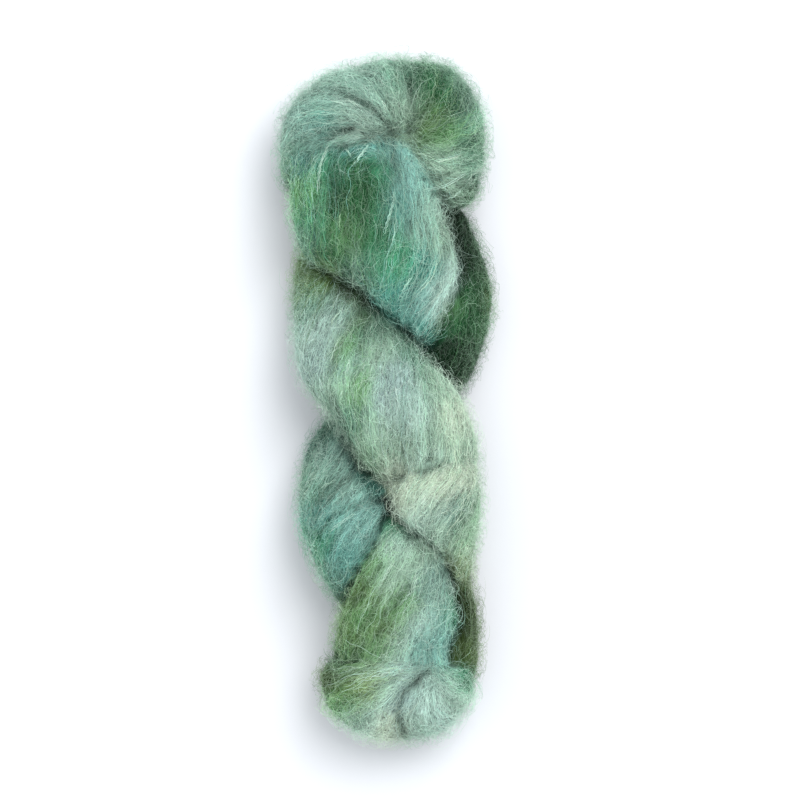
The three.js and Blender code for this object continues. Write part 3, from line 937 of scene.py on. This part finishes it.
def fibres(name, groups):
    """One mesh of three-sided fibres with pointed ends. A group is points, normals, widths and colours."""
    corners, triangles, shades, cells = [], [], [], []
    grid = math.ceil(math.sqrt(sum(len(points) for points, _, _, _ in groups)))
    base, first = 0, 0
    for points, normals, widths, colours in groups:
        count, steps = points.shape[:2]
        tangents = unit(np.gradient(points, axis=1))
        sides = unit(np.cross(tangents, normals))[:, 1:-1, None]
        ups = np.cross(sides, tangents[:, 1:-1, None])
        rings = steps - 2
        angles = np.radians([90, 330, 210])[None, None, :, None]
        radius = widths[:, None] / 2 * np.minimum(1, np.linspace(*TAPER, rings))
        outwards = np.cos(angles) * sides + np.sin(angles) * ups
        walls = (points[:, 1:-1, None] + radius[:, :, None, None] * outwards).reshape(count, -1, 3)
        corners.append(np.concatenate([points[:, :1], walls, points[:, -1:]], 1).reshape(-1, 3))
        wall_shades = colours[:, 1:-1].repeat(3, 1)
        shades.append(np.concatenate([colours[:, :1], wall_shades, colours[:, -1:]], 1).reshape(-1, 3))
        size = 3 * rings + 2
        last = 3 * (rings - 1)
        faces = []
        for side in range(3):
            here, there = 1 + side, 1 + (side + 1) % 3
            faces.append((0, there, here))
            for low in range(0, last, 3):
                faces.append((low + here, low + there, low + 3 + there))
                faces.append((low + here, low + 3 + there, low + 3 + here))
            faces.append((last + here, last + there, size - 1))
        starts = base + size * np.arange(count)
        triangles.append((starts[:, None, None] + np.array(faces)).reshape(-1, 3))
        # Each fibre runs across one small cell of the map.
        run = np.concatenate([[0], np.repeat(np.linspace(MARGIN, 1 - MARGIN, rings), 3), [1]])
        lift = np.concatenate([[0.5], np.tile([MARGIN, 0.5, 1 - MARGIN], rings), [0.5]])
        number = (first + np.arange(count))[:, None]
        corner = np.stack([number % grid, number // grid], -1)
        cells.append((corner + MARGIN + (1 - 2 * MARGIN) * np.stack([run, lift], -1)).reshape(-1, 2))
        base += size * count
        first += count
    mesh = bpy.data.meshes.new(name)
    faces = np.concatenate(triangles)
    mesh.from_pydata(in_metres(np.concatenate(corners)), [], faces)
    layer = mesh.uv_layers.new(name="OFBake")
    layer.data.foreach_set("uv", (np.concatenate(cells) / grid)[faces.ravel()].astype(np.float32).ravel())
    # These dye colours carry the painted shade as well as the dye.
    set_colours(mesh, "dye", np.concatenate(shades))
    piece = new_piece(name, mesh)
    smooth(piece)
    return piece


def dyed(random, ground, kept, paths, width):
    """A group for fibres(): the kept paths with their painted shade, and the dye from a little way along the
    strand.

    paths are points, normals, cells, and each path's tone and how much it pales.
    """
    points, normals, cells, tone, fade = (values[kept] for values in paths)
    count = len(cells)
    roots = cells[:, 0]
    slip = random.normal(0, RAGGED, (count, 1))
    _, source = ground.drop(points[:, 0] + slip * ground.facts["way"][roots])
    source = np.where(ground.facts["kin"][source, 0] == ground.facts["kin"][roots, 0], source, roots)
    colour = ground.facts["dye"][source] * tone[:, None]
    own = colour * (PALE.mean() / np.maximum(colour.mean(1, keepdims=True), DARKEST))
    tint = PALE + (own - PALE) * HUE_KEPT
    least, growth = PALING
    fade = fade * np.clip(least + growth * colour.mean(1), 0, 1)
    # The fibres take on the body's painted shade at each of their steps.
    colour = (colour + (tint - colour) * fade[:, None])[:, None] * ground.facts["shade"][cells]
    points[..., 2] = np.maximum(points[..., 2], LOWEST)
    return points, normals, random.uniform(*width, count), dimmed(colour)


def on_one_bundle(ground, cells):
    """Which paths stay on the bundle that they start on, or on one that it flows into."""
    kin = ground.facts["kin"][cells, 0]
    return (kin == kin[:, :1]).all(1)


def dipping(steps, level):
    """How high threads lie along their length, in mm: at their level, but for the ends, which are sunk."""
    return (level + SUNK) * np.sin(math.pi * np.linspace(0, 1, steps)) ** BLUNT - SUNK


def threads(random, ground, count, steps, pace, wave, swing, width, pale):
    """Crimped threads that lie on the body along its strands. pale is the share that took little dye."""
    run = np.arange(steps) * pace / random.uniform(*wave, count)[:, None]
    phase = random.random(count)[:, None]
    swings = np.radians(swing) * random.uniform(*CRIMPED["swing"], count)[:, None]
    stray = random.normal(0, CRIMPED["stray"], count)[:, None]
    headings = stray + swings * np.sin(2 * math.pi * (run + phase))
    points, normals, _, cells = walk(ground, ground.pick(random, count), headings, pace, CRIMPED["sway"])
    lift = dipping(steps, random.uniform(*CRIMPED["level"], count)[:, None])
    points = points + normals * lift[:, :, None]
    tone = random.uniform(*CRIMPED["tone"], count)
    fade = np.where(random.random(count) < pale, CRIMPED["undyed"], CRIMPED["dyed"])
    return dyed(random, ground, on_one_bundle(ground, cells), (points, normals, cells, tone, fade), width)


def laid(random, ground):
    """The pale threads along the listed routes, seen from above. Each has a few copies side by side."""
    paths = []
    for route in PALE_THREADS:
        corners = np.array(route, float)
        spans = np.concatenate([[0], np.cumsum(np.linalg.norm(np.diff(corners, axis=0), axis=1))])
        for _ in range(LAID["copies"]):
            reach = spans[-1] * random.uniform(*LAID["reach"])
            along = random.uniform(0, 1) * (spans[-1] - reach) + np.linspace(0, reach, LAID["steps"])
            path = np.stack([np.interp(along, spans, corners[:, column]) for column in range(2)], -1)
            crimp = LAID["crimp"] * np.sin(along[:, None] * LAID["turn"] + random.uniform(*LAID["phase"], 2))
            paths.append(path + random.normal(0, LAID["beside"], 2) + crimp)
    points, cells = ground.under(np.array(paths))
    normals = unit(ground.facts["normal"][cells])
    points = points + normals * dipping(LAID["steps"], LAID["level"])[None, :, None]
    tone = random.uniform(*LAID["tone"], len(points))
    fade = random.uniform(*LAID["fade"], len(points))
    return dyed(random, ground, slice(None), (points, normals, cells, tone, fade), LAID["width"])


def pile(random, ground, count, steps, length, spread, curl, sway, rise, width, fade, flanks=False):
    """Loose fibres of the pile, rooted in the body. rise is how far they stand off it, in mm.

    fade is the least and the most that they pale.
    """
    reach = random.uniform(*length, count)
    turn = random.normal(0, np.radians(spread), count) + math.pi * random.integers(0, 2, count)
    bend, swing = random.normal(0, np.radians(curl), (2, count, 1))
    phase = random.uniform(0, 2 * math.pi, count)[:, None]
    t = np.linspace(0, 1, steps)[None, :]
    curls = swing * np.sin(2 * STANCE["waves"] * math.pi * t + phase)
    headings = turn[:, None] + bend * (t - 0.5) + curls
    roots = ground.pick(random, count, flanks)
    points, normals, sides, cells = walk(ground, roots, headings, reach / (steps - 1), sway)
    tall = random.uniform(*rise, count)[:, None]
    arch = (STANCE["clear"] + tall) * np.sin(math.pi * (t * STANCE["arch"] + STANCE["start"]))
    lift = -STANCE["root"] + arch + STANCE["lift"] * tall * t
    wag = STANCE["wag"] * reach[:, None] * np.sin(2 * math.pi * t + phase) * t
    points = points + normals * lift[:, :, None] + sides * wag[:, :, None]
    tone = random.uniform(*PILE_TONE, count)
    fade = fade[0] + (fade[1] - fade[0]) * random.random(count) ** 2
    kept = on_one_bundle(ground, cells) | (random.random(count) < BRIDGING)
    return dyed(random, ground, kept, (points, normals, cells, tone, fade), width)


def link(tree, start, output, end, entry):
    tree.links.new(start.outputs[output], end.inputs[entry])


def settle(node, values):
    for name, value in values.items():
        node.inputs[name].default_value = value


def new_node(tree, kind, values=None):
    node = tree.nodes.new(kind)
    settle(node, values or {})
    return node


def attribute(tree, name):
    node = new_node(tree, "ShaderNodeAttribute")
    node.attribute_name = name
    return node


def new_material(name, values):
    """A material whose shader has these values, with its node tree and the shader."""
    material = bpy.data.materials.new(name)
    material.use_nodes = True
    shader = material.node_tree.nodes["Principled BSDF"]
    settle(shader, values)
    return material, material.node_tree, shader


def fine_strands():
    """A node group: fine wavy strands across combed places, as a mask from dark gaps to light crests."""
    group = bpy.data.node_groups.new("fine strands", "ShaderNodeTree")
    sockets = (("Comb", "INPUT", "Vector"), ("Fineness", "INPUT", "Float"), ("Mask", "OUTPUT", "Float"))
    for name, side, kind in sockets:
        group.interface.new_socket(name, in_out=side, socket_type="NodeSocket" + kind)
    into = group.nodes.new("NodeGroupInput")
    out = group.nodes.new("NodeGroupOutput")
    stretch = new_node(group, "ShaderNodeMapping", {"Scale": (0.16, 1.0, 1.0)})
    link(group, into, "Comb", stretch, "Vector")
    noisy = {"Detail": 4.0, "Roughness": 0.7, "Distortion": 0.6}
    strands = new_node(group, "ShaderNodeTexNoise", noisy)
    link(group, stretch, "Vector", strands, "Vector")
    link(group, into, "Fineness", strands, "Scale")
    contrast = new_node(group, "ShaderNodeMapRange", {"From Min": 0.34, "From Max": 0.68})
    link(group, strands, "Fac", contrast, "Value")
    link(group, contrast, "Result", out, "Mask")
    return group


def body_material():
    """Dyed yarn below the pile: fine strands, with painted shade in the gaps between them."""
    material, tree, shader = new_material("wound yarn", {"Roughness": 0.95, "Specular IOR Level": 0.1})
    strands = tree.nodes.new("ShaderNodeGroup")
    strands.node_tree = fine_strands()
    settle(strands, {"Fineness": 1.5})
    link(tree, attribute(tree, "comb"), "Vector", strands, "Comb")
    # The dye colours carry painted shade, and the gaps between the fine strands get more painted shade.
    shade = new_node(tree, "ShaderNodeMapRange", {"To Min": 0.22, "To Max": 1.05})
    link(tree, strands, "Mask", shade, "Value")
    shaded = new_node(tree, "ShaderNodeVectorMath")
    shaded.operation = "SCALE"
    link(tree, attribute(tree, "dye"), "Color", shaded, "Vector")
    link(tree, shade, "Result", shaded, "Scale")
    link(tree, shaded, "Vector", shader, "Base Color")
    bump = new_node(tree, "ShaderNodeBump", {"Strength": 0.7, "Distance": 0.0008})
    link(tree, strands, "Mask", bump, "Height")
    link(tree, bump, "Normal", shader, "Normal")
    return material


def fibre_material(name, roughness, sheen):
    """Dyed fibres with a soft lustre."""
    lustre = {"Specular IOR Level": 0.2, "Sheen Weight": sheen, "Sheen Roughness": 0.5}
    material, tree, shader = new_material(name, {"Roughness": roughness, **lustre})
    # Its base colour, the dye colours, carries the painted shade.
    link(tree, attribute(tree, "dye"), "Color", shader, "Base Color")
    return material


def dress(piece, material):
    piece.data.materials.append(material)
    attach(piece, "root")


# The camera's place in metres, straight above the hank, and its lens and film in mm.
CAMERA = {"place": (0.0066, 0.0009, 1.03), "lens": 102.4, "film": 36}


def camera():
    view = bpy.data.cameras.new("view")
    view.sensor_width = CAMERA["film"]
    view.lens = CAMERA["lens"]
    holder = new_piece("view", view)
    holder.location = CAMERA["place"]
    bpy.context.scene.camera = holder


def table():
    """A plain pale table under the hank, 8 m across."""
    mesh = bmesh.new()
    bmesh.ops.create_grid(mesh, x_segments=1, y_segments=1, size=4.0)
    data = bpy.data.meshes.new("table")
    mesh.to_mesh(data)
    mesh.free()
    card, _, _ = new_material("white card", {"Base Color": (0.70, 0.71, 0.74, 1), "Roughness": 0.9})
    data.materials.append(card)
    new_piece("table", data)


# Each light's place, width and strength, in metres and watts.
LIGHTS = {
    "key": {"place": (0.45, 0.55, 1.35), "width": 0.9, "power": 20.0},
    "fill": {"place": (-0.7, 0.1, 1.4), "width": 1.4, "power": 5.0},
}


def lights():
    for name, facts in LIGHTS.items():
        lamp = bpy.data.lights.new(name, "AREA")
        lamp.size = facts["width"]
        lamp.energy = facts["power"]
        holder = new_piece(name, lamp)
        holder.location = facts["place"]
        holder.rotation_euler = Vector(facts["place"]).to_track_quat("Z", "Y").to_euler()
    room = bpy.data.worlds.new("soft room")
    room.use_nodes = True
    settle(room.node_tree.nodes["Background"], {"Color": (0.94, 0.97, 1.0, 1), "Strength": 0.85})
    bpy.context.scene.world = room
    bpy.context.scene.view_settings.view_transform = "Standard"
    # Without a prefilter the denoiser keeps the finest hairs.
    bpy.context.scene.cycles.denoising_prefilter = "NONE"


camera()
table()
lights()

random = np.random.default_rng(SEED)
body, ground = hank_body()
dress(body, body_material())
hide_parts("hank")

strand_groups = [threads(random, ground, *THREADS[kind]) for kind in ("straight", "curly")]
strand_groups.append(laid(random, ground))
dress(fibres("yarn_threads", strand_groups), fibre_material("yarn thread", 0.6, 0.1))

pile_finish = fibre_material("mohair pile", 0.7, 0.15)
for number in range(1, LAYERS + 1):
    tufts = [pile(random, ground, *PILES[kind]) for kind in ("combed", "wild", "long")]
    dress(fibres(f"mohair_pile_{number}", tufts), pile_finish)

halo = [pile(random, ground, *PILES["mist"], flanks=True), pile(random, ground, *PILES["strays"])]
dress(fibres("mohair_halo", halo), pile_finish)
